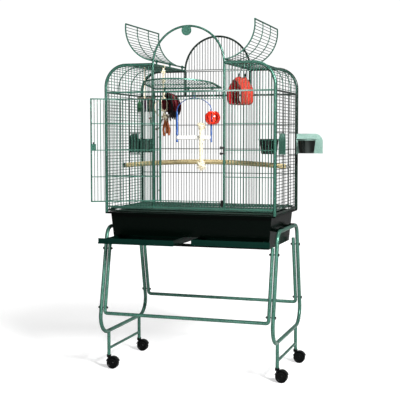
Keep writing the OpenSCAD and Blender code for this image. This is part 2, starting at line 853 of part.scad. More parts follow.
// three tubes and a tuft under a bar that hangs from a roof wire
module toy_tubes() {
    hook_x = -shoulder_x + 3 * flat_pitch;
    bar = 1438;
    translate([0, toy_y, 0]) {
        color("#3c2050") {
            for (x = [-256, -274, -292]) rod([x, 0, 1364], [x, 0, bar - 1], 7);
            rod([-336, 0, bar], [-232, 0, bar], 4);
        }
        color("#2f7d46") {
            rod([-324, 0, 1366], [-324, 0, 1415], 13);
            rod([-324, 0, 1412], [-324, 0, bar - 2], 2);
        }
        color("#e9e0c4") {
            rod([hook_x, 0, bar], [hook_x, 0, roof_z - 3], 2.5);
            translate([hook_x, 0, roof_z])
                rotate([90, 0, 0])
                    rotate_extrude($fn = 48)
                        translate([3.6, 0])
                            circle(r = 1.2, $fn = 24);
        }
    }
}

// fabric hut, open at both gables
tent_front = [183, -39];
tent_turn = 24;
tent_len = 94;
tent_side = [[28, 0], [42, 9], [49, 26], [51, 58], [46, 84], [30, 112], [12, 136]];
tent_top = 148;

module tent_place() { translate([tent_front.x, tent_front.y, 1400]) rotate([0, 0, -tent_turn]) children(); }

// half outline from the floor to the ridge, drawn in by inset
function tent_half(e, inset) = [for (p = tent_side) [e * (p[0] - inset), max(p[1] - inset * 0.4, inset)]];

module tent_prism(inset, grow) {
    left = tent_half(-1, inset);
    rotate([90, 0, 0])
        translate([0, 0, -tent_len - grow])
            linear_extrude(tent_len + 2 * grow)
                polygon(concat(tent_half(1, inset), [[0, tent_top - 1.3 * inset]],
                               [for (i = [len(left) - 1:-1:0]) left[i]]));
}

module bird_tent() {
    color("#d8261c")
        tent_place()
            difference() {
                tent_prism(0, 0);
                tent_prism(3, 2);
            }
}

// loops round two of the roof's wires, with a clip and a link down to the ridge
module tent_hooks() {
    color("silver")
        for (h = [[8, 36], [7, 86]]) {
            x = shoulder_x - h[0] * flat_pitch;
            y = tent_front.y + h[1] * cos(tent_turn);
            foot = [tent_front.x + h[1] * sin(tent_turn), y, 1400 + tent_top + gap];
            translate([x, y, roof_z])
                rotate([90, 0, 0])
                    rotate_extrude($fn = 48)
                        translate([3.3, 0])
                            circle(r = 1.2, $fn = 24);
            rod([x, y, roof_z - 3.6], foot + [0, 0, 12], 1.4);
            translate(foot) cylinder(h = 14, r = 4, $fn = 24);
        }
}

side_frame(-1);  // side_frame_left
side_frame(1);  // side_frame_right
u_frame(-1);  // front_u_frame
u_frame(1);  // rear_u_frame
frame_bolts();
base_brackets();
caster_body(-1, -1);  // caster_body_fl
caster_body(1, -1);  // caster_body_fr
caster_body(-1, 1);  // caster_body_rl
caster_body(1, 1);  // caster_body_rr
caster_wheels(-1, -1);  // caster_wheels_fl
caster_wheels(1, -1);  // caster_wheels_fr
caster_wheels(-1, 1);  // caster_wheels_rl
caster_wheels(1, 1);  // caster_wheels_rr
base_skirt();
base_ledge();
tray_runners();
tray(-1, tray_out_left);  // tray_left
tray(1, tray_out_right);  // tray_right
tray_front(-1, tray_out_left);  // tray_front_left
tray_front(1, tray_out_right);  // tray_front_right
floor_grate();
front_bottom_rail();
front_panel(-1);  // front_left_panel
front_panel(1);  // front_right_panel
door_surround();
front_arch();
arch_disc();
back_panel();
back_arch();
wall(-1, [1]);  // left_wall
wall(1, [-1, 1]);  // right_wall
roof(-1);  // roof_left
roof(1);  // roof_right
ridge_rails();
main_door();
hinge_eyes();
door_latch();
latch_strike();
landing_door();
swing_arm();
wing(-1);  // wing_left
wing(1);  // wing_right
feeder_door(-1, feeder_y[1], 0);  // feeder_door_left
feeder_door(1, -feeder_y[0], 0);  // feeder_door_front
feeder_door(1, feeder_y[1], feeder_open);  // feeder_door_rear
bowl(-1, feeder_y[1], 0);  // bowl_left
bowl(1, -feeder_y[0], 0);  // bowl_front
bowl(1, feeder_y[1], feeder_open);  // bowl_rear
perch();
perch_fittings();
swing_frame();
swing_perch();
swing_ball();
swing_rope();
toy_rope();
toy_leather();
toy_tubes();
bird_tent();
tent_hooks();
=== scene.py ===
# Bird cage on a wheeled stand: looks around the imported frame. Metres, Z up, -Y is the front.
import json
import math
import random

import bmesh
import bpy
from mathutils import Matrix, Vector


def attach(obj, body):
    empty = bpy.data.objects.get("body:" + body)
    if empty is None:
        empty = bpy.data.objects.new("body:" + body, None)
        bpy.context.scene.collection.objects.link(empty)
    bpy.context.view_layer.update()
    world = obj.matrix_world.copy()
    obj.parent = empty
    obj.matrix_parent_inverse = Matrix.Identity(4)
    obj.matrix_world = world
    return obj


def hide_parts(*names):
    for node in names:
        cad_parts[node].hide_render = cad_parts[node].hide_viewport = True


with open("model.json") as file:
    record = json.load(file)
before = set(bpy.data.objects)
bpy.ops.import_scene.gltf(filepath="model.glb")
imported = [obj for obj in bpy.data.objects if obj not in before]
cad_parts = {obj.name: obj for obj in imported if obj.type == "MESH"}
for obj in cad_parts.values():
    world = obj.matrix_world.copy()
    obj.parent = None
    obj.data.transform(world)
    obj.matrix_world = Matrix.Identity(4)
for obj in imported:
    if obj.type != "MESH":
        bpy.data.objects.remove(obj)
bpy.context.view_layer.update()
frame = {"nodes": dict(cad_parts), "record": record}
node = frame["nodes"]
scene = bpy.context.scene
random.seed(7)
TURN = 2 * math.pi

# ---------------------------------------------------------------- camera

LENS, SENSOR = 82.09, 36.0
CAMERA_PLACE = (1.4959, -4.6271, 1.2310)
CAMERA_TILT, CAMERA_TURN = math.radians(86.05), math.radians(18.13)

camera_data = bpy.data.cameras.new("camera")
camera_data.lens = LENS
camera_data.sensor_width = SENSOR
camera = bpy.data.objects.new("camera", camera_data)
camera.location = CAMERA_PLACE
camera.rotation_euler = (CAMERA_TILT, 0.0, CAMERA_TURN)
scene.collection.objects.link(camera)
scene.camera = camera

# ---------------------------------------------------------------- material helpers


class Shader:
    """A Principled material with short calls for its texture nodes."""

    def __init__(self, name, color=(0.5, 0.5, 0.5), rough=0.5, metal=0.0, coat=0.0, sheen=0.0):
        self.mat = bpy.data.materials.new(name)
        self.mat.use_nodes = True
        self.tree = self.mat.node_tree
        self.bsdf = self.tree.nodes["Principled BSDF"]
        self.put("Base Color", (*color, 1.0))
        self.put("Roughness", rough)
        self.put("Metallic", metal)
        self.put("Coat Weight", coat)
        self.put("Coat Roughness", 0.12)
        self.put("Sheen Weight", sheen)
        self.coord = self.add("ShaderNodeTexCoord").outputs["Object"]

    def put(self, socket, value):
        self.bsdf.inputs[socket].default_value = value

    def add(self, kind, **values):
        made = self.tree.nodes.new(kind)
        for key, value in values.items():
            setattr(made, key, value)
        return made

    def link(self, out, into):
        self.tree.links.new(out, into)

    def scaled(self, scale=(1, 1, 1)):
        mapping = self.add("ShaderNodeMapping")
        mapping.inputs["Scale"].default_value = scale
        self.link(self.coord, mapping.inputs["Vector"])
        return mapping.outputs["Vector"]

    def noise(self, scale, detail=3.0, stretch=(1, 1, 1), rough=0.5):
        tex = self.add("ShaderNodeTexNoise")
        tex.inputs["Scale"].default_value = scale
        tex.inputs["Detail"].default_value = detail
        tex.inputs["Roughness"].default_value = rough
        self.link(self.scaled(stretch), tex.inputs["Vector"])
        return tex.outputs["Fac"]

    def cells(self, scale, stretch=(1, 1, 1), feature="F1"):
        tex = self.add("ShaderNodeTexVoronoi", feature=feature)
        tex.inputs["Scale"].default_value = scale
        self.link(self.scaled(stretch), tex.inputs["Vector"])
        return tex.outputs["Distance"]

    def wave(self, scale, distortion=0.0, stretch=(1, 1, 1), direction="X", detail=2.0):
        tex = self.add("ShaderNodeTexWave", bands_direction=direction)
        tex.inputs["Scale"].default_value = scale
        tex.inputs["Distortion"].default_value = distortion
        tex.inputs["Detail"].default_value = detail
        self.link(self.scaled(stretch), tex.inputs["Vector"])
        return tex.outputs["Fac"]

    def ramp(self, fac, *stops):
        made = self.add("ShaderNodeValToRGB")
        elements = made.color_ramp.elements
        while len(elements) < len(stops):
            elements.new(0.5)
        for element, (place, color) in zip(elements, stops):
            element.position = place
            element.color = (*color, 1.0) if len(color) == 3 else color
        self.link(fac, made.inputs["Fac"])
        return made.outputs["Color"]

    def mix(self, fac, a, b, blend="MIX"):
        made = self.add("ShaderNodeMix", data_type="RGBA", blend_type=blend)
        for key, value in (("Factor", fac), ("A", a), ("B", b)):
            if isinstance(value, bpy.types.NodeSocket):
                self.link(value, made.inputs[key])
            elif isinstance(value, float):
                made.inputs[key].default_value = value
            else:
                made.inputs[key].default_value = (*value, 1.0)
        return made.outputs["Result"]

    def math(self, operation, a, b):
        made = self.add("ShaderNodeMath", operation=operation)
        for socket, value in zip(made.inputs, (a, b)):
            if isinstance(value, bpy.types.NodeSocket):
                self.link(value, socket)
            else:
                socket.default_value = value
        return made.outputs[0]

    def span(self, fac, low, high):
        made = self.add("ShaderNodeMapRange")
        made.inputs["To Min"].default_value = low
        made.inputs["To Max"].default_value = high
        self.link(fac, made.inputs["Value"])
        return made.outputs["Result"]

    def base(self, color):
        self.link(color, self.bsdf.inputs["Base Color"])

    def rough(self, fac, low, high):
        self.link(self.span(fac, low, high), self.bsdf.inputs["Roughness"])

    def bump(self, height, strength, distance, below=None):
        made = self.add("ShaderNodeBump")
        made.inputs["Strength"].default_value = strength
        made.inputs["Distance"].default_value = distance
        self.link(height, made.inputs["Height"])
        if below is not None:
            self.link(below, made.inputs["Normal"])
        self.link(made.outputs["Normal"], self.bsdf.inputs["Normal"])
        return made.outputs["Normal"]


def linear(c):
    """One channel of a screen colour, 0 to 1, as linear light."""
    return c / 12.92 if c <= 0.04045 else ((c + 0.055) / 1.055) ** 2.4


def shade(*rgb):
    """A screen colour, 0 to 255, as linear light."""
    return tuple(linear(c / 255) for c in rgb)


def toned(color, factor, lift=0.0):
    """The colour made darker or lighter by a factor, and lifted a little."""
    return tuple(min(1.0, c * factor + lift) for c in color)


def hammered(name, dark, light, size=0.0022):
    """Hammered enamel: small bright dimples in a darker film, over a slow change of tone."""
    s = Shader(name, light, rough=0.3, metal=0.5, coat=0.15)
    dimples = s.cells(1.0 / size)
    slow = s.noise(7.0, 4.0)
    middle = tuple(0.45 * a + 0.55 * b for a, b in zip(dark, light))
    tone = s.ramp(dimples, (0.0, light), (0.55, middle), (1.0, dark))
    s.base(s.mix(s.span(slow, 0.0, 0.7), tone, dark))
    s.rough(s.noise(160.0, 2.0), 0.22, 0.38)
    s.bump(dimples, 0.45, 0.0008)
    return s.mat


def gloss_enamel(name, color, peel=0.12, shine=0.3):
    """Stoved enamel with a faint orange peel and a little dust on it."""
    s = Shader(name, color, rough=0.22)
    s.put("Specular IOR Level", shine)
    dust = s.noise(22.0, 5.0, rough=0.65)
    s.base(s.mix(s.span(dust, 0.0, 0.2), color, toned(color, 1.4, 0.0004)))
    s.rough(dust, 0.14, 0.3)
    s.bump(s.noise(420.0, 1.0), peel, 0.0003)
    return s.mat


def moulded(name, color, rough=0.45, shine=0.5):
    """Moulded plastic: fine spark texture and slightly worn highlights."""
    s = Shader(name, color, rough=rough)
    s.put("Specular IOR Level", shine)
    wear = s.noise(60.0, 5.0, rough=0.7)
    s.base(s.mix(s.span(wear, 0.0, 0.5), color, toned(color, 1.4, 0.0006)))
    s.rough(wear, rough - 0.08, rough + 0.12)
    s.bump(s.cells(1800.0), 0.12, 0.0002)
    return s.mat


def bright_plastic(name, color, through=0.0):
    """Coloured moulded plastic under a clear gloss; it may let some light through."""
    s = Shader(name, color, rough=0.2, coat=0.3)
    flow = s.noise(35.0, 3.0)
    s.base(s.mix(s.span(flow, 0.0, 0.3), color, toned(color, 0.7)))
    s.rough(flow, 0.14, 0.28)
    s.bump(s.noise(500.0, 1.0), 0.06, 0.0002)
    s.put("Transmission Weight", through)
    s.put("Subsurface Weight", 0.15 if through else 0.0)
    s.put("Subsurface Radius", (0.01, 0.004, 0.003))
    s.put("Subsurface Scale", 1.0)
    return s.mat


def steel(name, color, low, high, lines=(1, 1, 60)):
    """Polished steel with faint turning lines; its roughness runs from low to high."""
    s = Shader(name, color, rough=0.2, metal=1.0)
    marks = s.noise(14.0, 4.0, lines)
    s.base(s.mix(s.span(marks, 0.0, 0.3), color, toned(color, 0.78)))
    s.rough(marks, low, high)
    s.bump(marks, 0.05, 0.0002)
    return s.mat


def timber(name, pale, dark):
    """Turned wood with long grain along X, growth lines and pores."""
    s = Shader(name, pale, rough=0.55)
    lines = s.wave(26.0, 5.0, (0.12, 1, 1), "Z", 3.0)
    flecks = s.noise(420.0, 3.0, (0.05, 1, 1), 0.6)
    slow = s.noise(11.0, 4.0, (0.5, 1, 1))
    grain = s.mix(s.span(lines, 0.1, 0.75), pale, dark)
    grain = s.mix(s.span(slow, 0.0, 0.4), grain, toned(dark, 0.7))
    pores = s.ramp(flecks, (0.35, (0.55, 0.55, 0.55)), (0.6, (0, 0, 0)))
    s.base(s.mix(pores, grain, toned(dark, 0.5)))
    s.rough(flecks, 0.5, 0.72)
    s.bump(flecks, 0.3, 0.0005)
    return s.mat


def cotton(name, color, dark):
    """Twisted cotton: fine fibres and a soft, uneven colour."""
    s = Shader(name, color, rough=0.9, sheen=0.35)
    fibres = s.noise(900.0, 3.0, (1, 1, 0.35), 0.7)
    slow = s.noise(45.0, 3.0)
    uneven = s.mix(s.span(slow, 0.0, 0.5), color, dark)
    s.base(s.mix(s.span(fibres, 0.0, 0.6), uneven, dark))
    s.bump(fibres, 0.6, 0.0007)
    return s.mat


def grained(name, color, dark):
    """Leather: wrinkled grain, with painted shade darkening the wrinkles."""
    s = Shader(name, color, rough=0.55)
    s.put("Specular IOR Level", 0.2)
    grain = s.cells(420.0)
    crease_relief_and_shade = s.noise(70.0, 5.0, rough=0.6)
    # painted shade: the colour darkens with the wrinkle noise that also makes the bump
    s.base(s.mix(s.span(crease_relief_and_shade, 0.1, 0.8), color, dark))
    s.rough(grain, 0.4, 0.66)
    fine = s.bump(grain, 0.35, 0.0006)
    s.bump(crease_relief_and_shade, 0.4, 0.0012, fine)
    return s.mat


def plush(name, color, dark, light, tuft=900.0):
    """Short pile: clumped tuft shapes with a painted highlight on their tips and painted shade at
    their roots.
    """
    s = Shader(name, color, rough=0.95, sheen=0.04)
    tuft_relief_and_root_shade = s.cells(tuft)
    clump_relief_and_tip_light = s.noise(150.0, 4.0, rough=0.7)
    slow = s.noise(25.0, 3.0)
    # painted light: the pile runs from the shaded colour to the lit colour with the clump noise
    # that also raises it
    pile = s.ramp(clump_relief_and_tip_light, (0.3, dark), (0.5, color), (0.7, light))
    pile = s.mix(s.span(slow, 0.0, 0.35), pile, dark)
    # painted shade at the roots, between the tuft cells
    s.base(s.mix(s.span(tuft_relief_and_root_shade, 0.0, 0.4), pile, dark))
    fine = s.bump(tuft_relief_and_root_shade, 0.8, 0.0014)
    s.bump(clump_relief_and_tip_light, 0.7, 0.003, fine)
    s.put("Sheen Roughness", 0.5)
    return s.mat


MAT = {
    "cage": hammered("cage_enamel", shade(0, 28, 20), shade(76, 140, 120)),
    # the deep material is a darker copy of the cage enamel: painted shade for the walls and back of
    # the cage, seen through its front
    "deep": hammered("deep_enamel", shade(0, 10, 6), shade(10, 50, 36)),
    "stand": hammered("stand_enamel", shade(0, 28, 20), shade(96, 160, 139), 0.003),
    "base": gloss_enamel("base_enamel", shade(1, 5, 3), shine=0.05),
    "tray_front": gloss_enamel("tray_enamel", shade(2, 30, 24), shine=0.1),
    "tray": gloss_enamel("tray_metal", shade(2, 17, 12), shine=0.08),
    "caster": moulded("caster_plastic", shade(2, 3, 3), shine=0.12),
    "wheel": moulded("wheel_plastic", shade(1, 2, 2), 0.3, 0.12),
    "fitting": gloss_enamel("black_fitting", shade(14, 14, 14)),
    "bowl": steel("bowl_steel", (0.065, 0.078, 0.072), 0.03, 0.08),
    # the leaf material is a lighter copy of the cage enamel: painted light on the lit inner face of
    # the rear feeder door
    "leaf": hammered("leaf_enamel_painted_light", shade(94, 146, 131), shade(214, 242, 232)),
    "bright": steel("bright_steel", (0.55, 0.55, 0.53), 0.2, 0.4, (1, 1, 1)),
    "wood": timber("perch_wood", shade(222, 210, 164), shade(172, 146, 96)),
    "blue": bright_plastic("blue_plastic", shade(2, 78, 160)),
    "white": bright_plastic("white_plastic", shade(244, 242, 234)),
    "red": bright_plastic("red_plastic", shade(244, 46, 20), 0.2),
    "amber": bright_plastic("amber_plastic", shade(236, 140, 30), 0.2),
    "rope": cotton("cotton_rope", shade(238, 230, 206), shade(170, 154, 116)),
    "taupe": cotton("taupe_cord", shade(120, 106, 88), shade(62, 52, 42)),
    "leather": grained("red_leather", shade(104, 4, 22), shade(20, 1, 4)),
    "black_leather": grained("black_leather", shade(20, 12, 13), shade(5, 3, 3)),
    "tan_leather": grained("tan_leather", shade(166, 92, 52), shade(44, 18, 10)),
    "bead": timber("bead_wood", shade(150, 76, 40), shade(80, 34, 18)),
    "tube_red": moulded("tube_red", shade(80, 0, 28), 0.35, 0.15),
    "tube_black": moulded("tube_black", shade(8, 5, 8), 0.35, 0.15),
    "tube_purple": moulded("tube_purple", shade(66, 4, 54), 0.35, 0.15),
    "raffia": cotton("green_raffia", shade(44, 120, 62), shade(6, 44, 20)),
    # each hut fabric is given a base colour, a painted-shade colour and a painted-highlight colour
    "plush": plush("plush", shade(214, 52, 28), shade(160, 16, 12), shade(236, 98, 56)),
    "lining": plush("hut_lining", shade(226, 6, 26), shade(150, 0, 14), shade(250, 36, 44), 1300.0),
    "binding": cotton("hut_binding", shade(150, 20, 24), shade(84, 8, 12)),
}

SLOT_MATERIAL = {
    "stand_enamel": "stand", "cage_enamel": "cage", "deep_enamel": "deep",
    "base_enamel": "base", "tray_metal": "tray", "tray_enamel": "tray_front",
    "caster_plastic": "caster", "wheel_plastic": "wheel", "black_fitting": "fitting",
    "bowl_steel": "bowl", "bright_steel": "bright", "perch_wood": "wood",
    "blue_plastic": "blue", "white_plastic": "white", "red_plastic": "red",
    "cotton_rope": "rope", "red_leather": "leather", "toy_tube": "leather", "plush": "plush",
}
for part in frame["record"]["subparts"]:
    for held in node[part["node"]].material_slots:
        held.material = MAT[SLOT_MATERIAL[part["material_slot"]]]
# the rear feeder door wears the lighter copy of the enamel, a painted highlight standing for the
# light on it
node["feeder_door_rear"].material_slots[0].material = MAT["leaf"]

# ---------------------------------------------------------------- floor and light


def stage_plane(name, size, place, color):
    """The white ground, which is there for the picture only."""
    data = bpy.data.meshes.new(name)
    bm = bmesh.new()
    bmesh.ops.create_grid(bm, x_segments=1, y_segments=1, size=size)
    bm.to_mesh(data)
    bm.free()
    made = bpy.data.objects.new(name, data)
    made.location = place
    scene.collection.objects.link(made)
    s = Shader(name, color, rough=0.9)
    s.put("Specular IOR Level", 0.0)
    s.put("Emission Color", (1, 1, 1, 1))
    # seen directly, the ground brightens outward until it meets the white backdrop
    seen = s.add("ShaderNodeLightPath").outputs["Is Camera Ray"]
    away = s.add("ShaderNodeVectorMath", operation="LENGTH")
    s.link(s.coord, away.inputs[0])
    glow = s.add("ShaderNodeMapRange", interpolation_type="SMOOTHSTEP")
    for key, value in (("From Min", 0.8), ("From Max", 4.0), ("To Min", 0.5), ("To Max", 1.0)):
        glow.inputs[key].default_value = value
    s.link(away.outputs["Value"], glow.inputs["Value"])
    strength = s.math("MULTIPLY", s.span(seen, 0.06, 1.0), glow.outputs["Result"])
    s.link(strength, s.bsdf.inputs["Emission Strength"])
    s.base(s.mix(s.span(s.noise(3.0), 0.0, 0.2), color, toned(color, 0.98)))
    data.materials.append(s.mat)


stage_plane("floor", 60.0, (0, 0, 0), (0.6, 0.6, 0.6))


def area_light(name, place, target, size, watts):
    """A square light at place, aimed at target."""
    data = bpy.data.lights.new(name, "AREA")
    data.energy = watts
    data.size = size
    made = bpy.data.objects.new(name, data)
    made.location = place
    aim = Vector(target) - Vector(place)
    made.rotation_euler = aim.to_track_quat("-Z", "Y").to_euler()
    scene.collection.objects.link(made)


area_light("key", (3.4, -3.0, 3.2), (0, 0, 1.0), 1.0, 520.0)
area_light("fill", (-3.4, -3.6, 2.2), (0, 0, 0.9), 1.6, 12.0)
area_light("strip", (-0.9, -4.2, 1.7), (0, 0, 1.1), 0.35, 34.0)
area_light("top", (0.3, 0.6, 4.6), (0, 0, 1.2), 1.6, 80.0)

# the world lights the cage from behind and to the right; seen directly, it is white
WORLD_DIM, WORLD_BRIGHT, BACKDROP = 0.04, 0.26, 1.05
world = bpy.data.worlds.new("world")
world.use_nodes = True
tree = world.node_tree
direction = tree.nodes.new("ShaderNodeTexCoord").outputs["Generated"]
toward = tree.nodes.new("ShaderNodeVectorMath")
toward.operation = "DOT_PRODUCT"
toward.inputs[1].default_value = (0.6, 0.8, 0.0)
tree.links.new(direction, toward.inputs[0])
bright_side = tree.nodes.new("ShaderNodeMapRange")
for key, value in (("From Min", -0.35), ("From Max", 0.3), ("To Min", WORLD_DIM),
                   ("To Max", WORLD_BRIGHT)):
    bright_side.inputs[key].default_value = value
tree.links.new(toward.outputs["Value"], bright_side.inputs["Value"])
seen = tree.nodes.new("ShaderNodeLightPath").outputs["Is Camera Ray"]
backdrop = tree.nodes.new("ShaderNodeMix")
backdrop.inputs["B"].default_value = BACKDROP
tree.links.new(seen, backdrop.inputs["Factor"])
tree.links.new(bright_side.outputs["Result"], backdrop.inputs["A"])
tree.links.new(backdrop.outputs["Result"], tree.nodes["Background"].inputs["Strength"])
tree.nodes["Background"].inputs["Color"].default_value = (1, 1, 1, 1)
scene.world = world
scene.view_settings.view_transform = "Standard"

# ---------------------------------------------------------------- piece helpers


def mm(x, y, z):
    """A point in metres, from millimetres."""
    return Vector((x, y, z)) / 1000


def profile(*pairs):
    """A lathe profile in metres, from (radius, height) pairs in millimetres."""
    return [(radius / 1000, height / 1000) for radius, height in pairs]


def circle(count, radius):
    """(x, y) pairs evenly round a circle."""
    return [(radius * math.cos(TURN * k / count), radius * math.sin(TURN * k / count))
            for k in range(count)]


def face_band(bm, a, b, material=0):
    """Faces between two closed rings of vertices."""
    for k in range(len(a)):
        n = (k + 1) % len(a)
        bm.faces.new((a[k], a[n], b[n], b[k])).material_index = material


def face_ends(bm, rings, material=0):
    """Faces that close the first and last ring."""
    for ring in (rings[0][::-1], rings[-1]):
        bm.faces.new(ring).material_index = material


def smooth(points, steps=8, closed=False):
    """A Catmull-Rom line through the points."""
    count = len(points)
    spans = count if closed else count - 1

    def near(i):
        return points[i % count] if closed else points[max(0, min(count - 1, i))]

    line = []
    for i in range(spans):
        a, b, c, d = near(i - 1), near(i), near(i + 1), near(i + 2)
        for k in range(steps):
            t = k / steps
            line.append(0.5 * (2 * b + (c - a) * t + (2 * a - 5 * b + 4 * c - d) * t * t
                               + (3 * b - 3 * c + d - a) * t ** 3))
    return line if closed else line + [points[-1]]


def resampled(line, step, closed=False):
    """Points a steady step apart along the line."""
    ends = line[1:] + line[:1] if closed else line[1:]
    total = sum((b - a).length for a, b in zip(line, ends))
    count = max(2, round(total / step))
    goal, run, made = 0.0, 0.0, []
    for a, b in zip(line, ends):
        length = (b - a).length
        while length > 0 and goal <= run + length + 1e-12 and len(made) < count:
            made.append(a.lerp(b, (goal - run) / length))
            goal += total / count
        run += length
    return made if closed else made + [line[-1]]


def framed(line, closed=False):
    """(point, normal, binormal) along the line, without needless twist."""
    count = len(line)
    result, normal = [], None
    for i, point in enumerate(line):
        ahead = line[(i + 1) % count] if closed or i < count - 1 else point
        behind = line[i - 1] if closed or i > 0 else point
        along = (ahead - behind).normalized()
        if normal is None:
            normal = along.orthogonal().normalized()
        normal = (normal - along * normal.dot(along)).normalized()
        result.append((point, normal, along.cross(normal)))
    return result


def sweep(bm, line, outline, closed=False, material=0):
    """Sweeps outline(fraction), a list of (normal, binormal) offsets, along the line."""
    rings = []
    for i, (point, normal, across) in enumerate(framed(line, closed)):
        offsets = outline(i / max(1, len(line) - 1))
        rings.append([bm.verts.new(point + normal * u + across * v) for u, v in offsets])
    for i in range(len(rings) if closed else len(rings) - 1):
        face_band(bm, rings[i], rings[(i + 1) % len(rings)], material)
    if not closed:
        face_ends(bm, rings, material)


def tube(bm, line, radius, sides=10, closed=False, material=0):
    """A tube whose radius is a number or a function of the fraction along the line."""
    def outline(part):
        return circle(sides, radius(part) if callable(radius) else radius)

    sweep(bm, line, outline, closed, material)


# a rope's lay, the spacing of its points, and its strands' radius and offset, all in rope radii
ROPE_LAY, ROPE_STEP, STRAND, STRAND_OUT = 5.5, 0.45, 0.464, 0.536


def twisted(bm, line, radius, closed=False):
    """A three-strand rope of that radius; each strand turns once in ROPE_LAY radii."""
    strand, offset = STRAND * radius, STRAND_OUT * radius
    even = resampled(line, radius * ROPE_STEP, closed)
    frames = framed(even, closed)
    turns = len(even) * ROPE_STEP / ROPE_LAY
    if closed:
        turns = max(1, round(turns))
    for k in range(3):
        path = []
        for i, (point, normal, across) in enumerate(frames):
            a = TURN * (k / 3 + turns * i / len(even))
            path.append(point + normal * (offset * math.cos(a)) + across * (offset * math.sin(a)))
        tube(bm, path, strand, 8, closed)


def ribbon(bm, line, width, thick, across, material=0, taper=0.75):
    """A flat strip that keeps its width along the across direction, narrower at its far end."""
    # (across, up, curl) of each corner: the strip's edges curl up a little
    corners = [(-1, 0.5, 1), (0, 0.5, 0), (1, 0.5, 1), (1, -0.5, 1), (0, -0.5, 0), (-1, -0.5, 1)]
    curl = thick * 0.8
    rings = []
    for i, point in enumerate(line):
        along = (line[min(i + 1, len(line) - 1)] - line[max(i - 1, 0)]).normalized()
        side = (across - along * across.dot(along)).normalized()
        up = along.cross(side)
        part = i / (len(line) - 1)
        half = 0.5 * width * (1 - (1 - taper) * part ** 3)
        rings.append([bm.verts.new(point + side * half * u + up * (thick * v + curl * c))
                      for u, v, c in corners])
    for a, b in zip(rings, rings[1:]):
        face_band(bm, a, b, material)
    face_ends(bm, rings, material)


def turned(bm, centre, pairs, lying=False, sides=32, material=0):
    """A lathe form about centre, upright or lying along X: (radius, height) pairs in order."""
    turn = Matrix.Rotation(math.pi / 2, 4, "Y") if lying else Matrix()
    rings = []
    for radius, height in pairs:
        rings.append([bm.verts.new(centre + turn @ Vector((x, y, height)))
                      for x, y in circle(sides, radius)])
    for a, b in zip(rings, rings[1:]):
        face_band(bm, a, b, material)
    face_ends(bm, rings, material)


KNOT_STEPS = 72


def knotted(bm, centre, size, radius, turn):
    """A tight overhand knot: a trefoil of rope that fits in a ball of that size."""
    s = (size - radius) / 3
    about_x, about_y, about_z = (Matrix.Rotation(a, 3, axis) for a, axis in zip(turn, "XYZ"))
    spin = about_x @ about_y @ about_z
    line = []
    for k in range(KNOT_STEPS):
        t = TURN * k / KNOT_STEPS
        spot = Vector((s * (math.sin(t) + 2 * math.sin(2 * t)),
                       s * (math.cos(t) - 2 * math.cos(2 * t)),
                       -0.95 * radius * math.sin(3 * t)))
        line.append(centre + spin @ spot)
    twisted(bm, line, radius, True)


YARN = 0.0009


def frayed(bm, centre, aim, count, length, spread, start):
    """Loose yarn ends that fan out from a cut rope and droop."""
    aim = aim.normalized()
    for _ in range(count):
        stray = Vector((random.gauss(0, spread), random.gauss(0, spread), random.gauss(0, spread)))
        way = (aim + stray).normalized()
        reach = length * random.uniform(0.6, 1.0)
        bend = Vector((random.gauss(0, 0.15), random.gauss(0, 0.15), -0.35)) * reach
        first = centre + way * start
        middle = first + way * reach * 0.5 + bend * 0.15
        line = smooth([first, middle, first + way * reach + bend], 3)
        tube(bm, line, lambda part: YARN * (1 - 0.5 * part), 4)


def piece(name, bm, materials, body, stands_for=()):
    """Makes an object from bm that rides on a body."""
    bmesh.ops.recalc_face_normals(bm, faces=bm.faces[:])
    data = bpy.data.meshes.new(name)
    bm.to_mesh(data)
    bm.free()
    for key in materials:
        data.materials.append(MAT[key])
    data.shade_smooth()
    made = bpy.data.objects.new(name, data)
    scene.collection.objects.link(made)
    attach(made, body)
    if stands_for:
        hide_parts(*stands_for)
    return made


# ---------------------------------------------------------------- the swing's rope and ball

SWING = (12.0, -192.0)
PERCH_Z, ROPE_X = 1228.0, 56.0
ROPE_Y = SWING[1] - 20.5
ROPE_R, KNOT_R, LASH_CORD_R = 0.010, 0.0235, 0.0031
POINT_STEP, FINE_STEP = 0.004, 0.003
UP, DOWN = Vector((0, 0, 1)), Vector((0, 0, -1))

top_knot, low_knot = mm(ROPE_X, ROPE_Y + 4, 1285), mm(ROPE_X, ROPE_Y, 1092)
bm = bmesh.new()
rope_line = resampled(smooth([mm(ROPE_X, ROPE_Y + 3, 1276), mm(ROPE_X, ROPE_Y, 1258),
                              mm(ROPE_X - 1, ROPE_Y - 0.5, 1180), mm(ROPE_X, ROPE_Y, 1108)]),
                      POINT_STEP)
twisted(bm, rope_line, ROPE_R)
swing_rope = piece("swing_rope_strands", bm, ["rope"], "swing", ["swing_rope"])

bm = bmesh.new()
knotted(bm, top_knot, KNOT_R, 0.0078, (0.5, 0.3, 0.2))
frayed(bm, top_knot, UP + Vector((-0.4, 0, 0)), 46, 0.02, 0.55, 0.012)
frayed(bm, top_knot, Vector((1, -0.5, 0.2)), 26, 0.013, 0.5, 0.015)
top_knot_piece = piece("swing_rope_top_knot", bm, ["rope"], "swing")

bm = bmesh.new()
knotted(bm, low_knot, KNOT_R + 0.0005, 0.008, (1.1, 0.6, 0.4))
frayed(bm, low_knot, DOWN, 70, 0.018, 0.5, 0.014)
low_knot_piece = piece("swing_rope_low_knot", bm, ["rope"], "swing")

# three turns of rope that tie the hanging rope to the perch bar
LASH_STEPS, LASH_TURNS, LASH_R, LASH_WIDTH = 71, 3, 13.6, 18
bm = bmesh.new()
lashing = []
for k in range(LASH_STEPS + 1):
    a = TURN * LASH_TURNS * k / LASH_STEPS
    lashing.append(mm(ROPE_X - LASH_WIDTH / 2 + LASH_WIDTH * k / LASH_STEPS,
                      SWING[1] + LASH_R * math.cos(a), PERCH_Z + LASH_R * math.sin(a)))
tube(bm, lashing, LASH_CORD_R, 8)
lashing_piece = piece("swing_rope_lashing", bm, ["rope"], "swing")

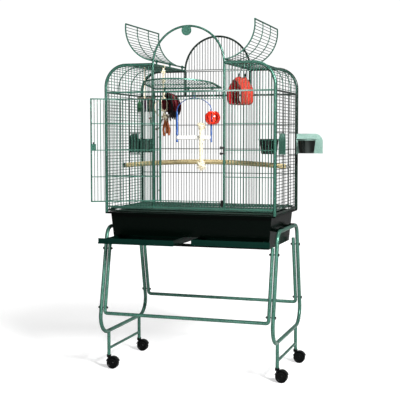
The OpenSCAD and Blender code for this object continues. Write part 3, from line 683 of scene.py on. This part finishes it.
# ribbed sleeves on the swing's uprights, and a plain cap below the perch bar on each
SLEEVE, RIB, TIP, RIB_PITCH = 4.3, 4.7, 3.1, 6
UPRIGHT = 92
bm = bmesh.new()
for x, upper in ((SWING[0] - UPRIGHT, 1356), (SWING[0] + UPRIGHT, 1288)):
    cap = [(TIP, 1205.5), (4.4, 1206), (4.8, 1208), (4.8, 1212), (SLEEVE, 1213), (SLEEVE, 1215.5)]
    sleeve = []
    for z in range(1242, upper, RIB_PITCH):
        sleeve += [(SLEEVE, z), (SLEEVE, z + 2), (RIB, z + 3), (RIB, z + 5)]
    sleeve += [(SLEEVE, upper + 2), (SLEEVE, upper + 4), (TIP, upper + 5.5)]
    for pairs in (cap, sleeve):
        turned(bm, mm(x, SWING[1], 0), profile(*pairs), sides=20)
piece("swing_sleeves", bm, ["blue"], "swing")

# the ball: a hollow shell with ten slots, and a bore for the upright beside its centre
BALL = mm(SWING[0] + UPRIGHT + 7, SWING[1], 1328)
BALL_R, BALL_CUT, BALL_WALL, BALL_EDGE = 0.039, 0.033, 0.003, 0.0006
BORE, BORE_R = Vector((-0.007, 0, 0)), 0.0036
LATS, LONS, RIBS, SOLID_LATS, SOLID_LONS = 24, 80, 10, 4, 5
bm = bmesh.new()
rows = []
edge = math.asin(BALL_CUT / BALL_R)
for i in range(LATS + 1):
    lat = -edge + 2 * edge * i / LATS
    rows.append([bm.verts.new((x, y, BALL_R * math.sin(lat)))
                 for x, y in circle(LONS, BALL_R * math.cos(lat))])
for i in range(LATS):
    for k in range(LONS):
        slotted = k % (LONS // RIBS) >= SOLID_LONS and SOLID_LATS <= i < LATS - SOLID_LATS
        if not slotted:
            n = (k + 1) % LONS
            bm.faces.new((rows[i][k], rows[i][n], rows[i + 1][n], rows[i + 1][k]))
for row, level in ((rows[0], -BALL_CUT), (rows[-1], BALL_CUT)):
    hole = [bm.verts.new(BORE + Vector((x, y, level))) for x, y in circle(LONS, BORE_R)]
    face_band(bm, row, hole)
bmesh.ops.translate(bm, verts=bm.verts[:], vec=BALL)
ball = piece("swing_ball_shell", bm, ["red"], "swing", ["swing_ball"])
wall = ball.modifiers.new("wall", "SOLIDIFY")
wall.thickness = BALL_WALL
wall.offset = -1
round_off = ball.modifiers.new("edge", "BEVEL")
round_off.width = BALL_EDGE
round_off.segments = 2

# the small amber ball that lies in the shell
RATTLE_R, RATTLE_STEPS = 0.0145, 20
bm = bmesh.new()
arc = [math.pi * (k + 0.3) / (RATTLE_STEPS + 0.6) for k in range(RATTLE_STEPS + 1)]
turned(bm, BALL + Vector((0.012, 0, -0.014)),
       [(RATTLE_R * math.sin(a) + 0.0002, -RATTLE_R * math.cos(a)) for a in arc])
piece("swing_ball_rattle", bm, ["amber"], "swing")

# ---------------------------------------------------------------- the hanging toys

TOY_Y = -100.0
RAIL_X, ROOF_Z = -189.0, 1600.0
RING, RING_HALF, RING_LEG = (-185.5, 1402.0), 18.0, 16.0
KNOT = mm(-179, TOY_Y, 1339)
MAIN_R, SIDE_R, SECOND_R, TAUPE_R, BAR_R = 0.005, 0.003, 0.0025, 0.003, 0.004


def toy(x, z, y=0.0):
    """A point in the plane the toys hang in, or y in front of or behind it."""
    return mm(x, TOY_Y + y, z)


def toy_circle(x, z, radius, count):
    """Points round a circle in that plane."""
    return [toy(x + u, z + w) for u, w in circle(count, radius)]


bm = bmesh.new()
main_line = resampled([toy(RAIL_X, 1592.4), toy(RAIL_X, 1436)], POINT_STEP)
twisted(bm, main_line, MAIN_R)
main_rope = piece("toy_main_rope", bm, ["rope"], "toys", ["toy_rope"])

# the loop over the rail, the whipping above the ring, the long ring, and two small knots
COIL_STEPS, COILS, COIL_R, COIL_Z, COIL_TALL = 96, 6, 6.2, 1452, 20
RING_STEPS = 48
bm = bmesh.new()
twisted(bm, toy_circle(RAIL_X, ROOF_Z, 8.4, 48), 0.002, True)
coils = []
for k in range(COIL_STEPS + 1):
    a = TURN * COILS * k / COIL_STEPS
    coils.append(toy(RAIL_X + COIL_R * math.cos(a), COIL_Z + COIL_TALL * k / COIL_STEPS,
                     COIL_R * math.sin(a)))
tube(bm, coils, 0.0018, 8)
ring_line = []
for k in range(RING_STEPS):
    a = TURN * (k + 0.5) / RING_STEPS
    leg = math.copysign(RING_LEG, math.sin(a))
    ring_line.append(toy(RING[0] + RING_HALF * math.cos(a),
                         RING[1] + RING_HALF * math.sin(a) + leg))
twisted(bm, smooth(ring_line, 2, True), MAIN_R, True)
for z, turn in ((1523, (0.4, 0.9, 0.3)), (1572, (1.2, 0.2, 0.8))):
    knotted(bm, toy(RAIL_X, z), 0.0135, 0.0046, turn)
hitch = piece("toy_ring_and_loop", bm, ["rope"], "toys")

bm = bmesh.new()
knotted(bm, KNOT, 0.024, 0.008, (0.2, 0.9, 0.1))
twisted(bm, [toy(-184, 1368), toy(-181, 1350)], MAIN_R)
frayed(bm, KNOT, DOWN + Vector((0.3, 0, 0)), 30, 0.016, 0.5, 0.014)
knot_piece = piece("toy_knot", bm, ["rope"], "toys")

# tan strips that hang below the knot
bm = bmesh.new()
for x, foot, bend in ((-183, 1236, -5), (-160, 1240, 4), (-171, 1250, 1)):
    bow = [toy(x * 0.5 - 89.5, 1334, -3), toy(x - bend, 1306, -7), toy(x + bend, 1272, -3),
           toy(x, foot, 1)]
    ribbon(bm, smooth(bow, 6), 0.013, 0.0022, Vector((1, 0.25, 0)), taper=0.9)
piece("toy_tan_strips", bm, ["tan_leather"], "toys")

# a thin cream cord bows out at the left of the ring and comes back to the knot
bm = bmesh.new()
bow_line = resampled(smooth([toy(-203, 1424), toy(-224, 1416, -4), toy(-236, 1394, -6),
                             toy(-231, 1363, -4), toy(-214, 1344, -1), toy(-198, 1338)]),
                     FINE_STEP)
twisted(bm, bow_line, SIDE_R)
bow_piece = piece("toy_side_cord", bm, ["rope"], "toys")

# bundle of leather strips, gathered at the top right of the rope
STRIPS, INNER_STRIPS, STRIP_THICK, THONG_R = 18, 9, 0.0024, 0.0024
gather = (-160.0, 1460.0)
bm = bmesh.new()
for k in range(STRIPS):
    a = TURN * k / STRIPS + 0.1
    out = random.uniform(0.72, 1.06)
    c, s = math.cos(a) * out, math.sin(a) * out
    drop, flare = random.uniform(-14, 16), random.uniform(-5, 7)
    line = [toy(gather[0] + 4 * c, gather[1] - 2, 4 * s), toy(-146 + 20 * c, 1446 + 3 * c, 20 * s),
            toy(-131 + 31 * c, 1412 + 4 * c, 31 * s), toy(-128 + 32 * c, 1378, 32 * s),
            toy(-129 + (24 + flare) * c, 1348 + drop, (24 + flare) * s)]
    ribbon(bm, smooth(line, 5), random.uniform(0.009, 0.014), STRIP_THICK,
           Vector((-math.sin(a), math.cos(a), 0)), material=1 if k % 4 == 1 else 0)
for k in range(INNER_STRIPS):
    a = TURN * k / INNER_STRIPS
    c, s = math.cos(a), math.sin(a)
    line = [toy(-152 + 8 * c, 1446, 8 * s), toy(-132 + 14 * c, 1410, 14 * s),
            toy(-129 + 18 * c, 1370, 18 * s),
            toy(-128 + 15 * c, 1336 + random.uniform(-4, 8), 15 * s)]
    ribbon(bm, smooth(line, 5), 0.013, STRIP_THICK, Vector((-math.sin(a), math.cos(a), 0)),
           material=k % 2)
for x, foot in ((-199, 1368), (-188, 1356), (-177, 1362), (-166, 1350)):
    line = [toy(gather[0], 1461, 5), toy(x * 0.6 - 66, 1452, 14), toy(x, 1424, 20),
            toy(x - 1, 1392, 20), toy(x + 2, foot, 17)]
    ribbon(bm, smooth(line, 5), 0.0125, STRIP_THICK, Vector((1, 0.3, 0)))
for x, foot in ((-142, 1316), (-131, 1326), (-118, 1322), (-110, 1334)):
    line = [toy(x, 1372, -22), toy(x - 2, 1345, -24), toy(x + 1, foot, -20)]
    ribbon(bm, smooth(line, 5), 0.009, STRIP_THICK, Vector((1, 0.2, 0)), 1)
tube(bm, [toy(-178, 1464), toy(-170, 1463), toy(-158, 1458)], THONG_R, 8, material=1)
piece("toy_leather_strips", bm, ["leather", "black_leather"], "toys",
      ["toy_leather"])

# the second cord, its bar of rope, three tubes and a raffia tuft
HOOK_X, BAR_Z = -294.67, 1438.0
bm = bmesh.new()
second_line = resampled([toy(HOOK_X, 1596.6), toy(HOOK_X, 1441)], POINT_STEP)
twisted(bm, second_line, SECOND_R)
second = piece("toy_second_cord", bm, ["rope"], "toys")
bm = bmesh.new()
tube(bm, toy_circle(HOOK_X, ROOF_Z, 3.6, 32), 0.0012, 8, True)
knotted(bm, toy(HOOK_X, BAR_Z + 2), 0.0085, 0.0028, (0.7, 0.2, 0.5))
second_ends = piece("toy_second_cord_ends", bm, ["rope"], "toys")

BAR_LEFT, BAR_LENGTH, TUBE_TOP, TUBE_FOOT, HANG_R = -336, 104, BAR_Z - 5, 1364, 5.6
bm = bmesh.new()
bar_line = [toy(x, BAR_Z - 0.6 * math.sin((x - BAR_LEFT) / BAR_LENGTH * math.pi))
            for x in range(BAR_LEFT, BAR_LEFT + BAR_LENGTH + 1, 8)]
twisted(bm, bar_line, BAR_R)
neck = [(1.5, 0), (3, 0), (3, -3), (6.2, -4), (7, -6), (7, -9), (6.4, -10)]
tip = [(6.4, 12), (7, 11), (7, 6), (6, 2.5), (3.5, 0.5), (1, 0)]
pairs = [(r, TUBE_TOP + z) for r, z in neck] + [(r, TUBE_FOOT + z) for r, z in tip]
for material, x in ((1, -256), (2, -274), (3, -292)):
    turned(bm, toy(x, 0), profile(*pairs), material=material)
    tube(bm, toy_circle(x, BAR_Z, HANG_R, 24), 0.0011, 6, True)
piece("toy_tube_set", bm, ["taupe", "tube_red", "tube_black", "tube_purple"], "toys",
      ["toy_tubes"])

TUFT_X, BLADES, BLADE_R = -324, 64, 0.0014
bm = bmesh.new()
for k in range(BLADES):
    a, out = TURN * k / BLADES, random.uniform(0.25, 1.0)
    c, s = math.cos(a) * out, math.sin(a) * out
    foot = random.uniform(1362, 1380)
    line = [toy(TUFT_X + 1.5 * c, BAR_Z - 4, 1.5 * s), toy(TUFT_X + 4 * c, 1417, 4 * s),
            toy(TUFT_X + 13 * c, 1398, 11 * s),
            toy(TUFT_X + 14 * c + random.uniform(-2, 2), foot, 12 * s)]
    tube(bm, smooth(line, 4), lambda part: BLADE_R * (1 - 0.4 * part), 5)
turned(bm, toy(TUFT_X, 0), profile((3.6, 1414), (4.6, 1415.5), (4.6, 1419), (3.6, 1420.5)))
tube(bm, toy_circle(TUFT_X, BAR_Z, HANG_R, 24), 0.0014, 6, True)
piece("toy_raffia_tuft", bm, ["raffia"], "toys")

# a taupe cord hangs from the bar in a long bow and comes back to the knot
bm = bmesh.new()
bow_line = resampled(smooth([toy(-262, 1433, -3), toy(-265, 1400, -9), toy(-262, 1358, -10),
                             toy(-258, 1320, -8), toy(-246, 1286, -6), toy(-224, 1272, -4),
                             toy(-206, 1292, -3), toy(-196, 1326)]), FINE_STEP)
twisted(bm, bow_line, TAUPE_R)
taupe = piece("toy_taupe_cord", bm, ["taupe"], "toys")
bm = bmesh.new()
bead = profile((3.2, -6), (5.6, -5), (7, -2), (7, 2), (5.6, 5), (3.2, 6))
turned(bm, toy(-224, 1272, -4), bead, lying=True)
turned(bm, toy(-259.5, 1330, -8.6), bead)
beads = piece("toy_wood_beads", bm, ["bead"], "toys")

# ---------------------------------------------------------------- the fabric hut

HUT_FRONT, HUT_TURN, HUT_LENGTH, HUT_FLOOR = (183.0, -39.0), math.radians(24), 94.0, 1400.0
HUT_TALL, HUT_MIDDLE, FABRIC, RIM_R, SEAM_R, SEAM_STEPS = 148, 60, 0.0035, 0.003, 0.0016, 24
HUT_SIDE = [(28, 0), (42, 9), (49, 26), (51, 58), (46, 84), (30, 112), (12, 136), (0, HUT_TALL)]
HUT_HOOKS = (36.0, 86.0)


def hut(x, y, z):
    """A point of the hut, from its own width, length and height."""
    return mm(HUT_FRONT[0] + x * math.cos(HUT_TURN) + y * math.sin(HUT_TURN),
              HUT_FRONT[1] - x * math.sin(HUT_TURN) + y * math.cos(HUT_TURN), HUT_FLOOR + z)


def ridge_drop(y):
    """How far the ridge hangs below its hooks."""
    front, back = HUT_HOOKS
    if y < front:
        return 15 * (1 - y / front) ** 1.4
    if y > back:
        return 5 * (y - back) / (HUT_LENGTH - back)
    return 6 * math.sin(math.pi * (y - front) / (back - front))


def hut_section(y, inset=0.0):
    """The closed outline at y, from the middle of the floor round over the ridge."""
    half = smooth([Vector((x, z, 0)) for x, z in [(0, 0), (14, 0)] + HUT_SIDE], 4)
    outline = [(p.x, p.y) for p in half] + [(-p.x, p.y) for p in half[-2:0:-1]]
    made = []
    for x, z in outline:
        high = z / HUT_TALL
        z -= ridge_drop(y) * high ** 2
        z -= 3.0 * (1 - high) * max(0.0, 1 - (x / 46) ** 2) * math.sin(math.pi * y / HUT_LENGTH)
        x *= 1 - 0.03 * math.sin(math.pi * y / HUT_LENGTH) * high
        size = math.hypot(x, z - HUT_MIDDLE) or 1.0
        made.append((x - inset * x / size, z - inset * (z - HUT_MIDDLE) / size))
    return made


ROWS = 22
bm = bmesh.new()
rows = []
for i in range(ROWS + 1):
    y = HUT_LENGTH * i / ROWS
    row = []
    for k, (x, z) in enumerate(hut_section(y)):
        ripple = 0.7 * math.sin(0.19 * y + 0.9 * k) * math.sin(0.31 * k)
        ripple += random.uniform(-0.35, 0.35)
        size = math.hypot(x, z - HUT_MIDDLE) or 1.0
        row.append(bm.verts.new(hut(x + (ripple - 1) * x / size, y,
                                    z + (ripple - 1) * (z - HUT_MIDDLE) / size)))
    rows.append(row)
for a, b in zip(rows, rows[1:]):
    face_band(bm, a, b)
hut_wall = piece("hut_fabric", bm, ["plush", "lining"], "cage", ["bird_tent"])
layer = hut_wall.modifiers.new("wall", "SOLIDIFY")
layer.thickness = FABRIC
layer.offset = -1
layer.material_offset = 1
soft = hut_wall.modifiers.new("soft", "SUBSURF")
soft.levels = soft.render_levels = 1

# binding round both openings, and a seam along the ridge
bm = bmesh.new()
for y in (0.0, HUT_LENGTH):
    rim = [hut(x, y, z) for x, z in hut_section(y, 2.4)]
    tube(bm, smooth(rim, 2, True), RIM_R, 8, True)
seam_at = [HUT_LENGTH * i / SEAM_STEPS for i in range(SEAM_STEPS + 1)]
tube(bm, [hut(0, y, HUT_TALL - ridge_drop(y) - 0.6) for y in seam_at], SEAM_R, 6)
binding = piece("hut_binding", bm, ["binding"], "cage")
